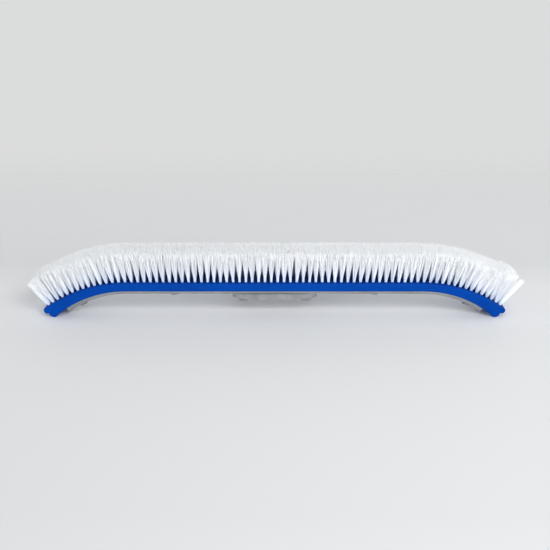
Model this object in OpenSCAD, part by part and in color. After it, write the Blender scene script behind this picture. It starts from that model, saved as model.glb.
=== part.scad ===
// Curved pool wall brush: a moulded block with stapled bristle tufts, stiffened by an
// aluminium back channel and carried by a cast handle with a spring button clip.
// X runs along the brush, +Z is the way the bristles point, and the handle points to +Y.
// Shapes are drawn in the block's frame, whose origin is the middle of the block's back
// face, and placed so that the part's origin is on the pole spigot's axis at its shoulder.

/* [Block] */
// Width of the block across its rows of bristles
block_w = 46; // [45:1:50]
// Thickness of the block in its straight middle
block_t = 8.2; // [8.2:0.1:8.4]
// Half the length of the straight middle
straight_half = 148; // [147:1:150]
// Radius of the curved ends on the bristle face
face_r = 140; // [138:1:142]
// Radius of the curved ends on the back face
back_r = 110; // [109:1:112]

/* [Bristles] */
// Distance between neighbouring rows of tufts
row_pitch = 8.2; // [8:0.1:8.5]
// Distance between tufts along the straight middle
tuft_pitch = 6.35; // [6.3:0.05:6.4]
// Height of the trimmed bristles above the block's face
trim_h = 30; // [25:0.5:36]
// Outward lean from square to the face where the ends begin to curve, in degrees
fan = 7.2; // [4:0.2:12]
// Outward lean of the last tufts from square to the face, in degrees
end_fan = 2; // [0:0.5:6]
// Sideways splay of the two outer rows, in degrees
row_splay = 5; // [3:0.5:6]

/* [Back channel] */
// Width of the aluminium channel
strap_w = 25.4; // [24:0.2:28]
// Depth of the channel, which is how far it stands off the block
strap_h = 6; // [5.8:0.1:6.2]
// Wall of the channel
strap_wall = 1.8; // [1.6:0.1:2]
// Turn of the channel's curved ends, in degrees
strap_arc = 35; // [32:0.5:35.5]

/* [Handle] */
// Radius of the pole spigot's fitting length
spigot_r = 14.25; // [14.2:0.05:14.3]
// Length of the spigot's fitting length
spigot_land = 42; // [38:1:44]
// Radius of the relieved nose that holds the buttons
nose_r = 14; // [13.9:0.05:14]
// Radius of the spigot's bore
bore_r = 12; // [11.9:0.05:12.1]
// Fall of the handle below the plane of the block, in degrees
handle_tilt = 5; // [4:0.5:5]

/* [Clip] */
// Radius of the clip's buttons
button_r = 3.75; // [3.5:0.05:3.8]
// How far the buttons stand out of the spigot
button_out = 5; // [4:0.25:5.25]

/* [Hidden] */
$fn = 64;
eps = 0.01;

// The curved ends turn about lines along Y at these heights
face_axis_z = block_t - face_r;
back_axis_z = -back_r;

// Block: two slabs swept along the face and along the back, joined inside the block
face_edge_r = 1.8;
back_edge_r = 1;
face_slab_t = 7;
back_slab_t = 6.3;
lug_r = 3.3;
lug_depth = 2.6;
lug_arc = 35.5;
lobe_r = 4.6;
lobe_depth = 4.2;
lobe_arc = 39.9;
bead_edge_r = 1.2;

// Tufts
rows = 5;
straight_tufts = 24;
curved_tufts = 14;
pitch_taper = 0.035;
fan_fade = 30;
hole_r = 1.6;
hole_depth = 6;
tuft_root_r = 1.45;
tuft_tip_r = 3.05;
staple = [0.4, 2.9, 1.9];
staple_floor = 0.1;
tuft_root_depth = hole_depth - staple_floor - staple[2];

// Fasteners, from the block downwards
boss_r = 4.5;
boss_h = strap_h - strap_wall;
screw_r = 1.75;
pilot_r = 1.8;
screw_slot_r = 2.1;
screw_bite = 3.2;
screw_head_r = 3.6;
screw_head_h = 2.2;
screw_recess_r = 1.2;
screw_seat = 0.08;
screw_stations = [8 * tuft_pitch, 16 * tuft_pitch, 22 * tuft_pitch, straight_half + 51];
bolt_x = 5 * tuft_pitch;
bolt_r = 3;
bolt_hole_r = 3.2;
bolt_head_r = 5.5;
bolt_head_h = 2.6;
bolt_tip = 0.5;
bolt_recess_r = 2.3;
washer_r = 6;
washer_t = 1.2;
lock_r = 4.9;
lock_t = 1.5;
lock_gap = 1;
nut_flats = 10;
nut_t = 3.2;

// Handle casting
plate_half = 31;
plate_r = 12;
plate_t = 5;
seat_gap = 0.3;
rib_t = 3;
rib_h = 1.6;
root_y = 30;
root_z = -4.6;
collar_r = 16.5;
collar_len = 14;
collar_edge_r = 3;
nose_len = 40;
nose_chamfer = 1.5;
bore_floor = 16;
spigot_end = collar_len + spigot_land + nose_len;

// Button clip, along the spigot's axis from its root
clip_t = 0.8;
clip_w = 9;
bend_r = 6;
bend_s = 23;
leg_tilt = 4.2;
leg_len = 60;
leg_tip_r = 4.5;
pivot_gap = 0.05;
button_s = 54;
button_tail_r = 1.5;
button_head_r = 2.6;
button_head_h = 0.7;
button_hole_r = 4.9;
button_hole_s = bend_s + button_s + 0.1;

blue = [0.03, 0.28, 0.68];
nylon = [0.93, 0.95, 0.97];
aluminium = [0.75, 0.76, 0.78];
steel = [0.62, 0.63, 0.65];

// ---- places -----------------------------------------------------------------------

function turn(s, axis_z, height) =
    max(0, abs(s) - straight_half) / (height - axis_z) * 180 / PI;

// Moves to the part's frame, whose origin is the spigot's shoulder
module in_part_frame() {
    translate([0, -root_y - collar_len * cos(handle_tilt),
               -root_z + collar_len * sin(handle_tilt)]) children();
}

// A place s along the brush on the surface at this height, with its normal as local Z
module at_station(s, axis_z, height) {
    mirror([s < 0 ? 1 : 0, 0, 0])
        translate([min(abs(s), straight_half), 0, axis_z])
            rotate([0, turn(s, axis_z, height), 0])
                translate([0, 0, height - axis_z]) children();
}

module on_back(s, y) {
    at_station(s, back_axis_z, 0) translate([0, y, 0]) children();
}

// The spigot's frame: Y along its axis from its root, X across, Z square to both
module on_spigot() {
    translate([0, root_y, root_z]) rotate([-handle_tilt, 0, 0]) children();
}

// ---- shared shapes ----------------------------------------------------------------

// What rounding takes off a corner that points to +x +y
module corner_waste(r) {
    difference() {
        translate([-r, -r]) square(r + eps);
        translate([-r, -r]) circle(r);
    }
}

// Section with height along x and width along y, its corners rounded low and high
module slab_section(low, high, width, r_low, r_high) {
    difference() {
        translate([low, -width / 2]) square([high - low, width]);
        for (flip = [0, 1]) mirror([0, flip]) {
            if (r_high > 0) translate([high, width / 2]) corner_waste(r_high);
            if (r_low > 0) translate([low, width / 2]) mirror([1, 0]) corner_waste(r_low);
        }
    }
}

// Sweeps a section along the straight middle and round both curved ends
module sweep(axis_z, arc) {
    rotate([180, 0, 0]) rotate([0, 90, 0])
        linear_extrude(2 * straight_half, center = true) children();
    for (flip = [0, 1]) mirror([flip, 0, 0])
        translate([straight_half, 0, axis_z]) rotate([-90, 0, 0]) rotate([0, 0, -90])
            rotate_extrude(angle = arc, $fn = 180) translate([-axis_z, 0]) children();
}

// Round bead across the end of the block
module end_bead(axis_z, arc, radius, r) {
    for (flip = [0, 1]) mirror([flip, 0, 0])
        translate([straight_half, 0, axis_z]) rotate([0, arc, 0]) translate([0, 0, radius])
            rotate([90, 0, 0]) rotate_extrude() intersection() {
                slab_section(-r, r, block_w, bead_edge_r, bead_edge_r);
                translate([0, -block_w / 2]) square([r, block_w]);
            }
}

// ---- brush ------------------------------------------------------------------------

// Distance along the brush to tuft i, counted from the middle
function tuft_s(i) =
    let (j = max(0, i - straight_tufts + 1))
    tuft_pitch * (i + 0.5) - pitch_taper * j * j;

// The lean grows along the straight middle and dies away again over the start of the curve
function tuft_fan(s) =
    fan * pow(min(1, abs(s) / straight_half), 1.5)
    + (end_fan - fan) * min(1, max(0, abs(s) - straight_half) / fan_fade);

function row_y(row) = (row - (rows + 1) / 2) * row_pitch;

// Places one child in each tuft of a row, with the tuft's own direction as local Z
module each_tuft(row) {
    for (i = [0 : straight_tufts + curved_tufts - 1], way = [-1, 1])
        at_station(way * tuft_s(i), face_axis_z, block_t) translate([0, row_y(row), 0])
            rotate([-row_splay * row_y(row) / row_y(rows), tuft_fan(tuft_s(i)), 0])
                let ($lean = tuft_fan(tuft_s(i))) children();
}

module each_screw() {
    for (k = [0 : len(screw_stations) - 1], way = [-1, 1])
        on_back(way * screw_stations[k], (k % 2 == 0 ? 1 : -1) * row_pitch / 2) children();
}

module brush_block() {
    color(blue) difference() {
        union() {
            sweep(face_axis_z, lug_arc)
                slab_section(block_t - face_slab_t, block_t, block_w, 0, face_edge_r);
            sweep(back_axis_z, lobe_arc)
                slab_section(0, back_slab_t, block_w, back_edge_r, 0);
            end_bead(face_axis_z, lug_arc, face_r - lug_depth, lug_r);
            end_bead(back_axis_z, lobe_arc, back_r + lobe_depth, lobe_r);
            each_screw() translate([0, 0, -boss_h]) cylinder(r = boss_r, h = boss_h + 1);
        }
        for (row = [1 : rows]) each_tuft(row)
            translate([0, 0, -hole_depth]) cylinder(r = hole_r, h = hole_depth + 2, $fn = 24);
        each_screw() translate([0, 0, -boss_h - 1])
            cylinder(r = pilot_r, h = boss_h + screw_bite + 1, $fn = 24);
    }
}

module bristle_row(row) {
    color(nylon) each_tuft(row) {
        translate([0, 0, -tuft_root_depth])
            cylinder(r = tuft_root_r, h = tuft_root_depth + eps, $fn = 24);
        cylinder(r1 = tuft_root_r, r2 = tuft_tip_r, h = trim_h / cos($lean), $fn = 24);
    }
}

module tuft_staples() {
    color(steel) for (row = [1 : rows]) each_tuft(row)
        translate([-staple[0] / 2, -staple[1] / 2, -hole_depth + staple_floor]) cube(staple);
}

// ---- back channel and fasteners ---------------------------------------------------

module back_channel() {
    color(aluminium) difference() {
        sweep(back_axis_z, strap_arc) difference() {
            slab_section(-strap_h, 0, strap_w, strap_wall, 0);
            translate([-boss_h, strap_wall - strap_w / 2])
                square([boss_h + 1, strap_w - 2 * strap_wall]);
        }
        each_screw() translate([0, 0, -strap_h - 1])
            cylinder(r = screw_slot_r, h = strap_wall + 2, $fn = 24);
        for (way = [-1, 1]) translate([way * bolt_x, 0, -strap_h - 1])
            cylinder(r = bolt_hole_r, h = strap_wall + 2, $fn = 32);
    }
}

// The flat heads stand off the channel by what its curved ends need
module channel_screws() {
    head_z = -strap_h - screw_seat;
    color(steel) each_screw() difference() {
        union() {
            translate([0, 0, head_z]) cylinder(r = screw_r, h = screw_bite - 0.2 - head_z, $fn = 24);
            translate([0, 0, head_z - screw_head_h]) rotate_extrude() intersection() {
                slab_section(-screw_head_r, screw_head_r, 2 * screw_head_h, 0, 1.2);
                square([screw_head_r, screw_head_h]);
            }
        }
        translate([0, 0, head_z - screw_head_h - 1])
            cylinder(r = screw_recess_r, h = 2.2, $fn = 6);
    }
}

// Places a child at each handle bolt, at this height below the block's back
module each_bolt(z) {
    for (way = [-1, 1]) translate([way * bolt_x, 0, z]) children();
}

plate_z = -strap_h - plate_t;

// Pan heads under the plate, with the shanks running up into the channel
module handle_bolts() {
    shank = lock_t + washer_t + plate_t + strap_wall + nut_t + bolt_tip;
    color(steel) each_bolt(plate_z - washer_t - lock_t) difference() {
        union() {
            translate([0, 0, -eps]) cylinder(r = bolt_r, h = shank + eps);
            mirror([0, 0, 1]) rotate_extrude() difference() {
                square([bolt_head_r, bolt_head_h]);
                translate([bolt_head_r, bolt_head_h]) corner_waste(1.8);
            }
        }
        translate([0, 0, -bolt_head_h - 1]) cylinder(r = bolt_recess_r, h = 2.6, $fn = 6);
    }
}

module flat_washers() {
    color(steel) each_bolt(plate_z - washer_t) difference() {
        cylinder(r = washer_r, h = washer_t);
        translate([0, 0, -1]) cylinder(r = bolt_hole_r, h = washer_t + 2);
    }
}

module lock_washers() {
    color(steel) each_bolt(plate_z - washer_t - lock_t) difference() {
        cylinder(r = lock_r, h = lock_t);
        translate([0, 0, -1]) cylinder(r = bolt_hole_r, h = lock_t + 2);
        rotate([0, 20, 35]) translate([0, -lock_gap / 2, -lock_t]) cube([2 * lock_r, lock_gap, 4 * lock_t]);
    }
}

module hex_nuts() {
    color(steel) each_bolt(-boss_h) difference() {
        cylinder(r = nut_flats / sqrt(3), h = nut_t, $fn = 6);
        translate([0, 0, -1]) cylinder(r = bolt_r + 0.05, h = nut_t + 2);
    }
}

// ---- handle -----------------------------------------------------------------------

module base_plate() {
    translate([-plate_half, -plate_r, plate_z]) cube([2 * plate_half, 2 * plate_r, plate_t]);
    for (way = [-1, 1]) translate([way * plate_half, 0, plate_z]) cylinder(r = plate_r, h = plate_t);
}

// Ribs along both long edges of the plate, falling away to its ends
module edge_rib(y) {
    translate([0, y, 0]) rotate([90, 0, 0]) linear_extrude(rib_t, center = true)
        polygon([[-plate_half, plate_z + 1], [plate_half, plate_z + 1],
                 [plate_half, plate_z], [plate_half / 2, plate_z - rib_h],
                 [-plate_half / 2, plate_z - rib_h], [-plate_half, plate_z]]);
}

// Neck that carries the spigot from under the channel to behind the block
module neck() {
    hull() {
        for (y = [1, 9], x = [-11, 11]) translate([x, y, -12.4]) sphere(r = 4, $fn = 32);
        translate([0, root_y + 1, -9]) rotate([-90 - handle_tilt, 0, 0]) cylinder(r = 10, h = 1, $fn = 48);
    }
}

// Outline of half the spigot: x is the radius and y runs along its axis from its root
module spigot_profile() {
    difference() {
        union() {
            square([collar_r, collar_len]);
            square([spigot_r, collar_len + spigot_land]);
            square([nose_r, spigot_end]);
        }
        translate([collar_r, 0]) mirror([0, 1]) corner_waste(collar_edge_r);
        translate([nose_r, spigot_end]) rotate(-45)
            square([4 * nose_chamfer, sqrt(2) * nose_chamfer], center = true);
        translate([0, bore_floor]) square([bore_r, spigot_end]);
    }
}

// The flat that the channel lies on, cut into the neck to leave a shoulder behind the channel
module channel_seat() {
    translate([0, 0, -strap_h / 2])
        cube([4 * plate_half, strap_w + 2 * seat_gap, strap_h], center = true);
}

module handle_casting() {
    color(aluminium) difference() {
        union() {
            base_plate();
            for (y = [-1, 1]) edge_rib(y * (plate_r - rib_t / 2));
            neck();
            on_spigot() rotate([-90, 0, 0]) rotate_extrude($fn = 96) spigot_profile();
        }
        channel_seat();
        each_bolt(plate_z - 1) cylinder(r = bolt_hole_r, h = plate_t + 2);
        on_spigot() translate([0, button_hole_s, 0]) rotate([0, 90, 0])
            cylinder(r = button_hole_r, h = 4 * spigot_r, center = true);
    }
}

// ---- button clip ------------------------------------------------------------------

// The line where a leg leaves the bend, with the leg's own direction as local Y
module at_pivot(way) {
    on_spigot() mirror([way < 0 ? 1 : 0, 0, 0])
        translate([bend_r * cos(leg_tilt), bend_s - bend_r * sin(leg_tilt), 0])
            rotate([0, 0, -leg_tilt]) children();
}

module clip_bend() {
    color(steel) difference() {
        on_spigot() translate([0, bend_s, 0]) rotate([0, 0, 180 + leg_tilt])
            rotate_extrude(angle = 180 - 2 * leg_tilt)
                translate([bend_r - clip_t / 2, -clip_w / 2]) square([clip_t, clip_w]);
        for (way = [-1, 1]) at_pivot(way)
            cylinder(r = clip_t / 2 + pivot_gap, h = clip_w + 2, center = true, $fn = 24);
    }
}

module clip_leg(way) {
    color(steel) at_pivot(way) difference() {
        union() {
            cylinder(r = clip_t / 2, h = clip_w, center = true, $fn = 24);
            translate([-clip_t / 2, 0, -clip_w / 2]) cube([clip_t, leg_len - leg_tip_r, clip_w]);
            translate([0, leg_len - leg_tip_r, 0]) rotate([0, 90, 0])
                cylinder(r = leg_tip_r, h = clip_t, center = true);
        }
        translate([0, button_s, 0]) rotate([0, 90, 0])
            cylinder(r = button_tail_r + pivot_gap, h = clip_t + 2, center = true, $fn = 24);
    }
}

module clip_button(way) {
    top = spigot_r + button_out - bend_r - button_s * sin(leg_tilt);
    color(steel) at_pivot(way) translate([0, button_s, 0]) rotate([0, 90, 0]) {
        translate([0, 0, clip_t / 2]) rotate_extrude() difference() {
            square([button_r, top - clip_t / 2]);
            translate([button_r, top - clip_t / 2]) corner_waste(1.6);
        }
        translate([0, 0, -clip_t / 2]) cylinder(r = button_tail_r, h = clip_t + eps, $fn = 24);
        translate([0, 0, -clip_t / 2 - button_head_h]) cylinder(r = button_head_r, h = button_head_h);
    }
}

// ---- parts ------------------------------------------------------------------------

in_part_frame() brush_block();
in_part_frame() bristle_row(1);  // bristle_row_1
in_part_frame() bristle_row(2);  // bristle_row_2
in_part_frame() bristle_row(3);  // bristle_row_3
in_part_frame() bristle_row(4);  // bristle_row_4
in_part_frame() bristle_row(5);  // bristle_row_5
in_part_frame() tuft_staples();
in_part_frame() back_channel();
in_part_frame() channel_screws();
in_part_frame() handle_casting();
in_part_frame() handle_bolts();
in_part_frame() flat_washers();
in_part_frame() lock_washers();
in_part_frame() hex_nuts();
in_part_frame() clip_bend();
in_part_frame() clip_leg(-1);  // clip_leg_left
in_part_frame() clip_leg(1);  // clip_leg_right
in_part_frame() clip_button(-1);  // clip_button_left
in_part_frame() clip_button(1);  // clip_button_right
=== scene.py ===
"""Looks of a curved pool wall brush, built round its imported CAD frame. Blender 4.5, metres.

The CAD block, channel, casting, fasteners and clip are shown as they are, with procedural
materials. Each solid CAD tuft is replaced by its own bundle of trimmed nylon filaments.
"""

import math

import bpy
import numpy as np
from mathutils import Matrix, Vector

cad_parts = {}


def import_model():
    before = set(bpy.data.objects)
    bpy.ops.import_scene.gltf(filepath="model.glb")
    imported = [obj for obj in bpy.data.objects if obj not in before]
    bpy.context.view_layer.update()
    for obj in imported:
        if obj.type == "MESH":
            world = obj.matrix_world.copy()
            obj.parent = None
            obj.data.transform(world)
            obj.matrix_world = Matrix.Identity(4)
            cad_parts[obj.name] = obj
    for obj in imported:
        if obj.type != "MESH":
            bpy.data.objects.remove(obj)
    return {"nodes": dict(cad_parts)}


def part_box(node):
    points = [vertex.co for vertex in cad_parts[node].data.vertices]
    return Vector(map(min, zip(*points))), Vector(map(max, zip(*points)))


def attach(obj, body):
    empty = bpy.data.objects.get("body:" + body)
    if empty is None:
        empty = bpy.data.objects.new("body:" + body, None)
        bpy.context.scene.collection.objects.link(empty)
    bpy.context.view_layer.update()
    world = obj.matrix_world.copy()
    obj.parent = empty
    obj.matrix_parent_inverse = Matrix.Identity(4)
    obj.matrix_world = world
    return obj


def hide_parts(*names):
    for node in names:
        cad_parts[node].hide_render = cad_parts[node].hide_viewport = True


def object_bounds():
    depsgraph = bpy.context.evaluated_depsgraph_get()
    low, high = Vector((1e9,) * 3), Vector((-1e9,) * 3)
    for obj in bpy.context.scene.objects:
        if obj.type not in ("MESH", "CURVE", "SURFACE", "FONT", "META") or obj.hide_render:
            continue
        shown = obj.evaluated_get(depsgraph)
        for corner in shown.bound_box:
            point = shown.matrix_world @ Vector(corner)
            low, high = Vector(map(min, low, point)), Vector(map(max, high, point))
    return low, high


MM = 0.001
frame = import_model()
nodes = frame["nodes"]
cad_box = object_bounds()

# Bristle rows and filaments
ROWS = 5
ROW_PITCH = 8.2 * MM
HOLE_DEPTH = 4.0 * MM             # how far a CAD tuft reaches into its hole
FILAMENTS = 42                    # filament ends in one tuft
FILAMENT_R = 0.21 * MM
SIDES = 5                         # of a filament's section
STATIONS = (-0.10, 0.0, 0.15, 0.4, 0.7, 1.0)   # rings along a filament, as shares of its length
SEED = 100

# Reading a CAD tuft
SAME_PLACE = 0.001 * MM           # vertices this close are one
END_SLICE = 1.0 * MM              # depth of an end from which its centre is taken
DEPTHWISE = (0.0, 1.0, 0.0)       # the direction from row to row

# A bundle's shape
ROOT_SPREAD = 1.2 * MM            # radius of the filament centres at the block's face
TIP_SPREAD = 4.8 * MM             # and at the trimmed end
SPREAD_RANGE = (0.90, 1.08)       # of TIP_SPREAD, from tuft to tuft
RING_RANGE = (0.92, 1.05)         # of a filament's distance from the bundle's axis
WANDER = 0.35 * MM                # how far a filament's tip strays from its place in the bundle
BOW = 0.25 * MM                   # how far a filament bows sideways at its middle
TRIM_ERROR = 0.5 * MM             # unevenness of the trimmed ends
LEAN_ERROR = 1.2                  # degrees a tuft leans away from its neighbours along the brush

# A bundle widens with a power of the share of its length. Distances are from the brush's middle.
FLARE = 0.9
END_FLARE = 0.62                  # the power near the brush's ends, where bundles widen sooner
ENDS = (0.14, 0.20)               # distances at which the power leaves FLARE and reaches END_FLARE
MIDDLE = 0.15                     # distance at which the next two, and MIDDLE_SHADE, are gone
MIDDLE_LAG = 0.24                 # width the outer rows lack at the middle, falling to 0 at the tip
MIDDLE_LEAD = 0.35                # taken from the inner rows' power there

# The last tufts at both ends have set inwards. Each list starts with the last tuft.
LEFT_SET = (4.5, 4.5, 5.0, 6.0, 6.5, 6.5, 5.5, 4.0, 3.0, 1.5)   # degrees
RIGHT_SET = (11.0, 11.0, 9.0, 6.5, 4.0, 2.5, 1.0)
RIGHT_LONGER = (4.5 * MM, 3.5 * MM, 1.5 * MM, 0.5 * MM)
# The front row's last tuft on the right is tighter and stands away from the others.
STRAY_TURN = 1.0                  # degrees outwards
STRAY_SPREAD = 0.5                # of the other tufts' spread
STRAY_SHORTER = 1.5 * MM          # than the other rows' last tufts

# Tints from root to tip, and how much painted shade, in the dark colour below, covers them inside the
# brush
TINT_STOPS = (0.0, 0.15, 0.4, 0.7, 1.0)   # shares of a filament's length
# The blue of the first tints is painted reflection of the blue block on the roots
TINTS = ((0.72, 0.82, 0.97), (0.82, 0.88, 0.97), (0.90, 0.92, 0.96), (0.90, 0.92, 0.94),
         (0.90, 0.91, 0.92))
TINT_RANGE = (0.97, 1.02)         # from filament to filament
TINT_LIMIT = 0.97
# Painted shade: the colour that stands in for the dark deep among the tufts
PAINTED_SHADE_COLOUR = (0.10, 0.15, 0.36)
DEEP = 6.0 * MM                   # distance inside the outer rows at which it is full
DEEP_TUFTS = 3                    # and the same at the ends, in tufts
# Weights of that painted shade at TINT_STOPS, at the brush's sides and at its middle
SHADE = (0.8, 0.5, 0.12, 0.0, 0.0)
MIDDLE_SHADE = (1.0, 1.0, 0.65, 0.1, 0.0)

# Camera, which looks along +Y and down
ELEVATION = math.radians(17)
DISTANCE = 1.0
LENS = 65.8                       # focal length in mm for each metre of distance
SENSOR = 36
CAMERA_CLIP = (0.02, 50)
AIM_RIGHT = 0.5 * MM              # the point aimed at, from the middle of the block's near lower edge
AIM_UP = 16.6 * MM

# Light
KEY_PLACE = (0.5, -1.2, 0.85)     # X, distance in front of the block's middle, height
KEY_SIZE = (0.8, 0.6)
KEY_POWER = 11
SKY_COLOUR = (0.97, 0.985, 1.0)
SKY_BAND = 2.95                   # strength all round the horizon
SKY_TOP = 0.15                    # and overhead
SKY_RISE = (0.1, 0.75)            # sines of the heights between which one turns to the other
MIRRORED = 0.40                   # strength seen in mirrors
BACKDROP = (0.755, 0.76, 0.76)    # colour seen by the camera
EXPOSURE = -0.31

# Floor. Tones are at distances behind (+) or in front of (-) the brush. They are painted light and shade:
# the stop just behind the front edge is lighter to lift the brush's shadow, and the rest evens out the
# fall of light.
FLOOR_HALF = 8.0
FLOOR_GAP = 0.02 * MM
FLOOR_TONES = ((-0.45, 0.74), (-0.25, 0.80), (-0.10, 0.86), (0.03, 0.875), (0.12, 0.80), (0.3, 0.82))
FLOOR_SIDES = (-0.3, 0.3, 0.98, 0.99)     # from X to X, and the factors on the tones there: painted shade, a little darker to the left
FLOOR_ENDS = (0.6, 1.5)           # distances all round between which it gives way to the backdrop
FLOOR_BACK = (0.1, 0.9)           # and distances behind


# ---- materials ----------------------------------------------------------------------

class Nodes:
    """Short calls for building one material's node tree. Positions are in metres."""

    def __init__(self, name):
        self.material = bpy.data.materials.new(name)
        self.material.use_nodes = True
        self.tree = self.material.node_tree
        self.shader = self.tree.nodes["Principled BSDF"]
        self.place = self.add("ShaderNodeTexCoord").outputs["Object"]

    def add(self, kind, **settings):
        node = self.tree.nodes.new(kind)
        for key, value in settings.items():
            setattr(node, key, value)
        return node

    def put(self, socket, value):
        if isinstance(value, bpy.types.NodeSocket):
            self.tree.links.new(value, socket)
        else:
            socket.default_value = value

    def stretched(self, x, y, z):
        node = self.add("ShaderNodeMapping")
        self.put(node.inputs["Vector"], self.place)
        self.put(node.inputs["Scale"], (x, y, z))
        return node.outputs["Vector"]

    def noise(self, scale, detail=3.0, rough=0.55, place=None):
        node = self.add("ShaderNodeTexNoise")
        self.put(node.inputs["Vector"], place or self.place)
        self.put(node.inputs["Scale"], scale)
        self.put(node.inputs["Detail"], detail)
        self.put(node.inputs["Roughness"], rough)
        return node.outputs["Fac"]

    def cells(self, scale, place=None):
        node = self.add("ShaderNodeTexVoronoi")
        self.put(node.inputs["Vector"], place or self.place)
        self.put(node.inputs["Scale"], scale)
        return node.outputs["Distance"]

    def span(self, value, low, high, to_low, to_high):
        """value from low..high mapped to to_low..to_high and kept inside it."""
        node = self.add("ShaderNodeMapRange")
        for name, number in (("Value", value), ("From Min", low), ("From Max", high),
                             ("To Min", to_low), ("To Max", to_high)):
            self.put(node.inputs[name], number)
        return node.outputs["Result"]

    def math(self, operation, a, b):
        node = self.add("ShaderNodeMath", operation=operation)
        self.put(node.inputs[0], a)
        self.put(node.inputs[1], b)
        return node.outputs[0]

    def blend(self, share, a, b, how="MIX"):
        node = self.add("ShaderNodeMix", data_type="RGBA", blend_type=how)
        self.put(node.inputs[0], share)
        self.put(node.inputs[6], a)
        self.put(node.inputs[7], b)
        return node.outputs[2]

    def bump(self, height, depth, strength=1.0, under=None):
        node = self.add("ShaderNodeBump")
        self.put(node.inputs["Height"], height)
        self.put(node.inputs["Distance"], depth)
        self.put(node.inputs["Strength"], strength)
        if under is not None:
            self.put(node.inputs["Normal"], under)
        return node.outputs["Normal"]

    def finish(self, **values):
        for name, value in values.items():
            self.put(self.shader.inputs[name.replace("_", " ")], value)
        return self.material


def rgb(red, green, blue):
    return (red, green, blue, 1.0)


def blue_plastic():
    """Injection-moulded polypropylene: satin, fine spark grain, faint flow marks and scuffs."""
    n = Nodes("blue_plastic")
    flow = n.noise(60, 2, 0.5, n.stretched(0.25, 1, 1))
    grain = n.noise(2600, 2, 0.6)
    scuff = n.span(n.noise(900, 4, 0.7, n.stretched(0.06, 1, 0.5)), 0.62, 0.75, 0, 1)
    colour = n.blend(n.span(flow, 0.3, 0.7, 0, 1), rgb(0.001, 0.050, 0.27), rgb(0.001, 0.064, 0.32))
    colour = n.blend(n.math("MULTIPLY", scuff, 0.10), colour, rgb(0.10, 0.25, 0.62))
    shine = n.span(flow, 0.3, 0.7, 0.34, 0.46)
    shine = n.math("ADD", shine, n.math("MULTIPLY", scuff, 0.12))
    relief = n.bump(flow, 0.02 * MM, 1.0, n.bump(grain, 0.012 * MM))
    return n.finish(Base_Color=colour, Roughness=shine, Normal=relief, Specular_IOR_Level=0.06)


def extruded_aluminium():
    """Mill-finish extrusion: fine die lines along the length, a thin dull oxide, a few rubs."""
    n = Nodes("extruded_aluminium")
    lines = n.noise(1500, 3, 0.65, n.stretched(0.012, 1, 1))
    cloud = n.noise(45, 3, 0.6)
    colour = n.blend(n.span(cloud, 0.35, 0.65, 0, 1), rgb(0.42, 0.43, 0.44), rgb(0.52, 0.53, 0.54))
    shine = n.math("ADD", n.span(cloud, 0.35, 0.65, 0.30, 0.40), n.span(lines, 0.3, 0.7, -0.05, 0.07))
    return n.finish(Base_Color=colour, Metallic=1.0, Roughness=shine, Normal=n.bump(lines, 0.02 * MM))


def cast_aluminium():
    """Tumbled die casting: soft pebbled skin with small pits and brighter rubbed patches."""
    n = Nodes("cast_aluminium")
    skin = n.noise(700, 4, 0.6)
    pits = n.span(n.cells(900), 0.0, 0.25, 0, 1)
    patch = n.noise(70, 3, 0.6)
    colour = n.blend(n.span(patch, 0.35, 0.65, 0, 1), rgb(0.43, 0.435, 0.44), rgb(0.55, 0.555, 0.56))
    colour = n.blend(pits, rgb(0.33, 0.335, 0.34), colour)
    shine = n.span(patch, 0.3, 0.7, 0.52, 0.38)
    relief = n.bump(pits, 0.02 * MM, 0.5, n.bump(skin, 0.05 * MM))
    return n.finish(Base_Color=colour, Metallic=1.0, Roughness=shine, Normal=relief)


def turned_steel(name, dark, light, dull, lines):
    """Bright steel with fine tool lines."""
    n = Nodes(name)
    cut = n.noise(2200, 2, 0.6, n.stretched(*lines))
    cloud = n.noise(180, 3, 0.6)
    colour = n.blend(n.span(cloud, 0.35, 0.65, 0, 1), dark, light)
    shine = n.math("ADD", n.span(cut, 0.3, 0.7, -0.05, 0.06), dull)
    return n.finish(Base_Color=colour, Metallic=1.0, Roughness=shine, Normal=n.bump(cut, 0.012 * MM))


def white_bristle():
    """Nylon filament. Its tint runs from root to tip, with painted blue reflection at the roots and
    painted shade deep inside, and differs a little between filaments.
    """
    n = Nodes("white_bristle")
    tint = n.add("ShaderNodeAttribute", attribute_name="tint").outputs["Color"]
    return n.finish(Base_Color=tint, Roughness=0.42, Specular_IOR_Level=0.35)


def paint(material, *names):
    for name in names:
        item = nodes[name]
        for place in item.material_slots:
            place.link = "OBJECT"
            place.material = material


# ---- bristles -----------------------------------------------------------------------

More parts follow.
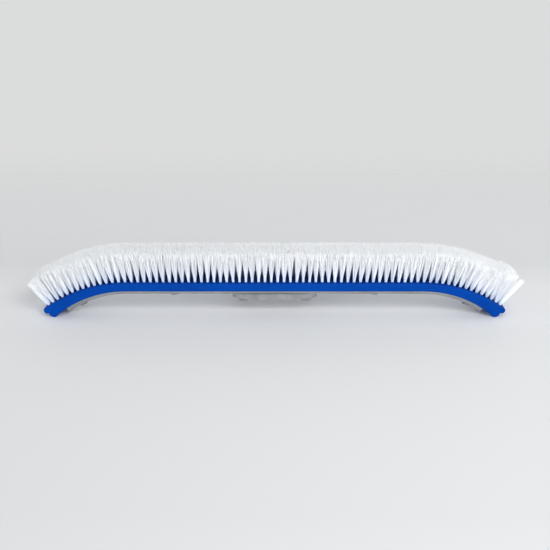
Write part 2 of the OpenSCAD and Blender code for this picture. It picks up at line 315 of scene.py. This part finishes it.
def tuft_ends(node):
    """Root and tip centres of each solid tuft in a CAD row, in order along the brush."""
    mesh = nodes[node].data
    points = np.empty(len(mesh.vertices) * 3)
    mesh.vertices.foreach_get("co", points)
    points = points.reshape(-1, 3)
    corners = np.empty(len(mesh.loops), int)
    mesh.loops.foreach_get("vertex_index", corners)
    # Vertices at one place count as one, and the label of a tuft is its lowest vertex number.
    _, same = np.unique(np.round(points / SAME_PLACE).astype(int), axis=0, return_inverse=True)
    faces = same.ravel()[corners].reshape(-1, 3)
    label = np.arange(same.max() + 1)
    while True:
        lowest = label[faces].min(axis=1)
        before = label.copy()
        for column in range(3):
            np.minimum.at(label, faces[:, column], lowest)
        if (label == before).all():
            break
    owner = label[same.ravel()]
    ends = []
    for tuft in np.unique(owner):
        cloud = points[owner == tuft]
        middle = (cloud.min(axis=0) + cloud.max(axis=0)) / 2
        axis = np.linalg.svd(cloud - middle, full_matrices=False)[2][0]
        axis *= np.sign(axis[2]) or 1.0
        along = (cloud - middle) @ axis
        low = cloud[along < along.min() + END_SLICE]
        high = cloud[along > along.max() - END_SLICE]
        ends.append(((low.min(axis=0) + low.max(axis=0)) / 2, (high.min(axis=0) + high.max(axis=0)) / 2))
    ends.sort(key=lambda pair: pair[0][0])
    return np.array([pair[0] for pair in ends]), np.array([pair[1] for pair in ends])


def unit(vectors):
    return vectors / np.linalg.norm(vectors, axis=-1, keepdims=True)


def nearness(faces):
    """1 for a tuft at the brush's middle, falling to 0 at MIDDLE from it."""
    return np.clip(1 - np.abs(faces[:, 0]) / MIDDLE, 0, 1)


def set_tufts(chance, number, axes, reach):
    """Turn each tuft a little about its hole's mouth, towards +X for a positive angle, and trim it."""
    turn = chance.normal(0, LEAN_ERROR, len(axes))
    turn[:len(LEFT_SET)] += LEFT_SET
    turn[-len(RIGHT_SET):] -= RIGHT_SET[::-1]
    reach[-len(RIGHT_LONGER):] += RIGHT_LONGER[::-1]
    if number == 1:
        turn[-1] = STRAY_TURN
        reach[-1] -= STRAY_SHORTER
    turn = np.radians(turn)[:, None]
    return axes * np.cos(turn) + unit(np.cross(DEPTHWISE, axes)) * np.sin(turn), reach


def bundle_places(chance, tufts):
    """Places of the filaments across each bundle, spread evenly over a disc of radius 1."""
    ring = np.sqrt((np.arange(FILAMENTS) + 0.5) / FILAMENTS)
    golden = math.pi * (3 - math.sqrt(5))
    angle = np.arange(FILAMENTS) * golden + chance.uniform(0, 2 * math.pi, (tufts, 1))
    ring = ring * chance.uniform(*RING_RANGE, (tufts, FILAMENTS))
    return ring[..., None] * np.stack([np.cos(angle), np.sin(angle)], axis=-1)


def filament_paths(chance, number, faces, axes, reach, place):
    """The stations of every filament of a row, tuft after tuft."""
    tufts = len(faces)
    stray = chance.normal(0, WANDER, (tufts, FILAMENTS, 2))
    bow = chance.normal(0, BOW, (tufts, FILAMENTS, 2))
    spread = TIP_SPREAD * chance.uniform(*SPREAD_RANGE, (tufts, 1, 1))
    if number == 1:
        spread[-1] *= STRAY_SPREAD
    error = chance.normal(0, TRIM_ERROR, (tufts, FILAMENTS))

    out = unit(np.cross(unit(np.gradient(faces, axis=0)), DEPTHWISE))
    side = unit(np.cross(DEPTHWISE, axes))
    deep = unit(np.cross(axes, side))

    def across(offset):
        return offset[..., :1] * side[:, None] + offset[..., 1:] * deep[:, None]

    root = across(place * ROOT_SPREAD)
    tip = across(place * spread + stray)
    curve = across(bow)
    # Every filament is cut where it meets the trimmed surface, which runs parallel to the face
    rise = (axes * out).sum(axis=1)[:, None]
    cut = reach[:, None] - (tip * out[:, None]).sum(axis=2) / rise + error

    middle = nearness(faces)[:, None, None]
    power = np.interp(np.abs(faces[:, :1, None]), ENDS, (FLARE, END_FLARE))
    path = []
    for share in STATIONS:
        above = max(share, 0.0)
        if number in (1, ROWS):
            flare = np.maximum(above ** power - MIDDLE_LAG * middle * (1 - share), 0)
        else:
            flare = above ** (power - MIDDLE_LEAD * middle)
        path.append(faces[:, None] + axes[:, None] * (cut * share)[..., None]
                    + root + (tip - root) * flare + curve * math.sin(math.pi * above))
    return np.stack(path, axis=2).reshape(-1, len(STATIONS), 3)


def filament_mesh(name, path):
    """A closed thin tube along every path, with a ring of vertices at each of its stations."""
    run = unit(path[:, -1] - path[:, 0])
    u = unit(np.cross(run, DEPTHWISE))
    v = np.cross(run, u)
    turns = np.arange(SIDES) * 2 * math.pi / SIDES
    circle = FILAMENT_R * (np.cos(turns)[:, None] * u[:, None] + np.sin(turns)[:, None] * v[:, None])
    co = (path[:, :, None] + circle[:, None]).reshape(-1, 3)

    levels = len(STATIONS)
    first = np.arange(len(path))[:, None, None] * levels * SIDES
    level = np.arange(levels - 1)[None, :, None] * SIDES
    step = np.arange(SIDES)[None, None, :]
    after = (step + 1) % SIDES
    quads = np.stack([first + level + step, first + level + after,
                      first + level + SIDES + after, first + level + SIDES + step], axis=-1).reshape(-1, 4)
    bottom = first[:, 0] + np.arange(SIDES)[None]
    top = bottom + (levels - 1) * SIDES
    caps = np.concatenate([bottom[:, ::-1], top])
    mesh = bpy.data.meshes.new(name)
    mesh.from_pydata(co.tolist(), [], quads.tolist() + caps.tolist())
    smooth = np.ones(len(quads) + len(caps), bool)
    smooth[len(quads):] = False
    mesh.polygons.foreach_set("use_smooth", smooth)
    return mesh


def filament_tints(chance, number, faces, place):
    """A colour for every vertex: painted blue reflection off the block at the roots, and painted shade
    inside the brush.
    """
    tufts = len(faces)
    count = tufts * FILAMENTS
    share = np.clip(np.array(STATIONS), 0, 1)
    tint = np.array([np.interp(share, TINT_STOPS, tones) for tones in zip(*TINTS)]).T
    offset = (1 + place[..., 1]) * ROOT_SPREAD
    depth = np.minimum((number - 1) * ROW_PITCH + offset,
                       (ROWS - number) * ROW_PITCH + 2 * ROOT_SPREAD - offset).reshape(count, 1)
    from_end = np.minimum(np.arange(tufts), np.arange(tufts)[::-1])
    from_end = np.repeat(from_end, FILAMENTS)[:, None]
    # Painted shade, full deep inside the rows and away from the ends, weighted along each filament
    inside = np.clip(depth / DEEP, 0, 1) * np.clip(from_end / DEEP_TUFTS, 0, 1)
    middle = np.repeat(nearness(faces), FILAMENTS)[:, None]
    shade = ((1 - middle) * np.interp(share, TINT_STOPS, SHADE)
             + middle * np.interp(share, TINT_STOPS, MIDDLE_SHADE))
    inside = np.minimum(inside * shade, 1)[..., None]
    tint = tint * (1 - inside + inside * np.array(PAINTED_SHADE_COLOUR))
    tint = tint * chance.uniform(*TINT_RANGE, (count, 1, 1))
    colour = np.ones((count, len(STATIONS), SIDES, 4))
    colour[..., :3] = np.clip(tint, 0, TINT_LIMIT)[:, :, None]
    return colour


def bristle_row(number, material):
    """One row of filament bundles in place of the solid tufts of one CAD row."""
    node = f"bristle_row_{number}"
    chance = np.random.default_rng(SEED + number)
    floors, tips = tuft_ends(node)
    axes = unit(tips - floors)
    faces = floors + axes * HOLE_DEPTH
    axes, reach = set_tufts(chance, number, axes, np.linalg.norm(tips - faces, axis=1))
    place = bundle_places(chance, len(faces))

    mesh = filament_mesh(node + "_filaments", filament_paths(chance, number, faces, axes, reach, place))
    layer = mesh.color_attributes.new("tint", "FLOAT_COLOR", "POINT")
    layer.data.foreach_set("color", filament_tints(chance, number, faces, place).ravel())
    mesh.materials.append(material)

    piece = bpy.data.objects.new(node + "_filaments", mesh)
    bpy.context.scene.collection.objects.link(piece)
    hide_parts(node)
    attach(piece, "brush")


# ---- stage --------------------------------------------------------------------------

def floor():
    level = cad_box[0].z - FLOOR_GAP
    corners = [(FLOOR_HALF * x, FLOOR_HALF * y, level) for x, y in ((-1, -1), (1, -1), (1, 1), (-1, 1))]
    mesh = bpy.data.meshes.new("studio_floor")
    mesh.from_pydata(corners, [], [(0, 1, 2, 3)])
    item = bpy.data.objects.new("studio_floor", mesh)
    bpy.context.scene.collection.objects.link(item)
    n = Nodes("studio_floor")
    parts = n.add("ShaderNodeSeparateXYZ")
    n.put(parts.inputs[0], n.place)
    near, far = FLOOR_TONES[0][0], FLOOR_TONES[-1][0]
    # Painted light and shade: the floor's colour follows FLOOR_TONES from front to back and FLOOR_SIDES
    # from left to right
    shade = n.add("ShaderNodeValToRGB")
    n.put(shade.inputs[0], n.span(parts.outputs["Y"], near, far, 0, 1))
    stops = shade.color_ramp.elements
    while len(stops) < len(FLOOR_TONES):
        stops.new(0.5)
    for stop, (y, tone) in zip(stops, FLOOR_TONES):
        stop.position = (y - near) / (far - near)
        stop.color = rgb(0.995 * tone, tone, 1.005 * tone)
    colour = n.blend(1.0, shade.outputs[0], n.span(parts.outputs["X"], *FLOOR_SIDES), "MULTIPLY")
    n.finish(Base_Color=colour, Roughness=0.7, Specular_IOR_Level=0.1)
    # Far away, and sooner behind the object, the floor gives way to the world
    away = n.add("ShaderNodeVectorMath", operation="LENGTH")
    n.put(away.inputs[0], n.place)
    fade = n.math("MAXIMUM", n.span(away.outputs["Value"], *FLOOR_ENDS, 0, 1),
                  n.span(parts.outputs["Y"], *FLOOR_BACK, 0, 1))
    clear = n.add("ShaderNodeBsdfTransparent")
    mix = n.add("ShaderNodeMixShader")
    n.put(mix.inputs[0], fade)
    n.put(mix.inputs[1], n.shader.outputs[0])
    n.put(mix.inputs[2], clear.outputs[0])
    n.put(n.tree.nodes["Material Output"].inputs["Surface"], mix.outputs[0])
    mesh.materials.append(n.material)


def world():
    """Light from a bright band all round and a dimmer top. Mirrors and the camera see their own tones."""
    sky = bpy.data.worlds.new("studio")
    bpy.context.scene.world = sky
    sky.use_nodes = True
    tree = sky.node_tree

    def add(kind, **settings):
        node = tree.nodes.new(kind)
        for key, value in settings.items():
            setattr(node, key, value)
        return node

    def background(strength, colour=SKY_COLOUR):
        node = add("ShaderNodeBackground")
        node.inputs["Color"].default_value = rgb(*colour)
        if isinstance(strength, bpy.types.NodeSocket):
            tree.links.new(strength, node.inputs["Strength"])
        else:
            node.inputs["Strength"].default_value = strength
        return node.outputs[0]

    def choose(share, a, b):
        node = add("ShaderNodeMixShader")
        tree.links.new(share, node.inputs[0])
        tree.links.new(a, node.inputs[1])
        tree.links.new(b, node.inputs[2])
        return node.outputs[0]

    parts = add("ShaderNodeSeparateXYZ")
    tree.links.new(add("ShaderNodeTexCoord").outputs["Generated"], parts.inputs[0])
    height = add("ShaderNodeMapRange")
    tree.links.new(parts.outputs["Z"], height.inputs["Value"])
    for name, number in (("From Min", SKY_RISE[0]), ("From Max", SKY_RISE[1]),
                         ("To Min", SKY_BAND), ("To Max", SKY_TOP)):
        height.inputs[name].default_value = number
    path = add("ShaderNodeLightPath")
    lit = background(height.outputs["Result"])
    lit = choose(path.outputs["Is Glossy Ray"], lit, background(MIRRORED))
    lit = choose(path.outputs["Is Camera Ray"], lit, background(1.0, BACKDROP))
    tree.links.new(lit, tree.nodes["World Output"].inputs["Surface"])


def key_light(target):
    lamp = bpy.data.lights.new("key", "AREA")
    lamp.shape = "RECTANGLE"
    lamp.size, lamp.size_y = KEY_SIZE
    lamp.energy = KEY_POWER
    item = bpy.data.objects.new("key", lamp)
    item.location = (KEY_PLACE[0], target.y + KEY_PLACE[1], KEY_PLACE[2])
    item.rotation_euler = (target - item.location).to_track_quat("-Z", "Y").to_euler()
    bpy.context.scene.collection.objects.link(item)


def camera(edge):
    up = Vector((0, math.sin(ELEVATION), math.cos(ELEVATION)))
    back = Vector((0, -math.cos(ELEVATION), math.sin(ELEVATION)))
    aim = edge + Vector((AIM_RIGHT, 0, 0)) + up * AIM_UP
    lens = bpy.data.cameras.new("camera")
    lens.lens = LENS * DISTANCE
    lens.sensor_width = SENSOR
    lens.clip_start, lens.clip_end = CAMERA_CLIP
    item = bpy.data.objects.new("camera", lens)
    item.location = aim + back * DISTANCE
    item.rotation_euler = (-back).to_track_quat("-Z", "Y").to_euler()
    bpy.context.scene.collection.objects.link(item)
    bpy.context.scene.camera = item


# ---- scene --------------------------------------------------------------------------

paint(blue_plastic(), "brush_block")
paint(extruded_aluminium(), "back_channel")
paint(cast_aluminium(), "handle_casting")
paint(turned_steel("stainless_steel", rgb(0.42, 0.42, 0.42), rgb(0.53, 0.53, 0.525), 0.26, (1, 1, 0.1)),
      "channel_screws", "handle_bolts", "flat_washers", "lock_washers", "hex_nuts",
      "clip_button_left", "clip_button_right")
paint(turned_steel("spring_steel", rgb(0.46, 0.45, 0.44), rgb(0.60, 0.59, 0.57), 0.27, (1, 0.05, 1)),
      "clip_bend", "clip_leg_left", "clip_leg_right")
paint(turned_steel("staple_wire", rgb(0.50, 0.50, 0.52), rgb(0.62, 0.62, 0.64), 0.35, (1, 1, 0.1)),
      "tuft_staples")
nylon = white_bristle()
for row in range(1, ROWS + 1):
    bristle_row(row, nylon)

floor()
world()
block_low, block_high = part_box("brush_block")
key_light((block_low + block_high) / 2)
camera(Vector((0, block_low.y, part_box("back_channel")[1].z)))

view = bpy.context.scene.view_settings
view.view_transform = "Standard"
view.look = "Medium High Contrast"
view.exposure = EXPOSURE
bpy.context.scene.cycles.diffuse_bounces = 4
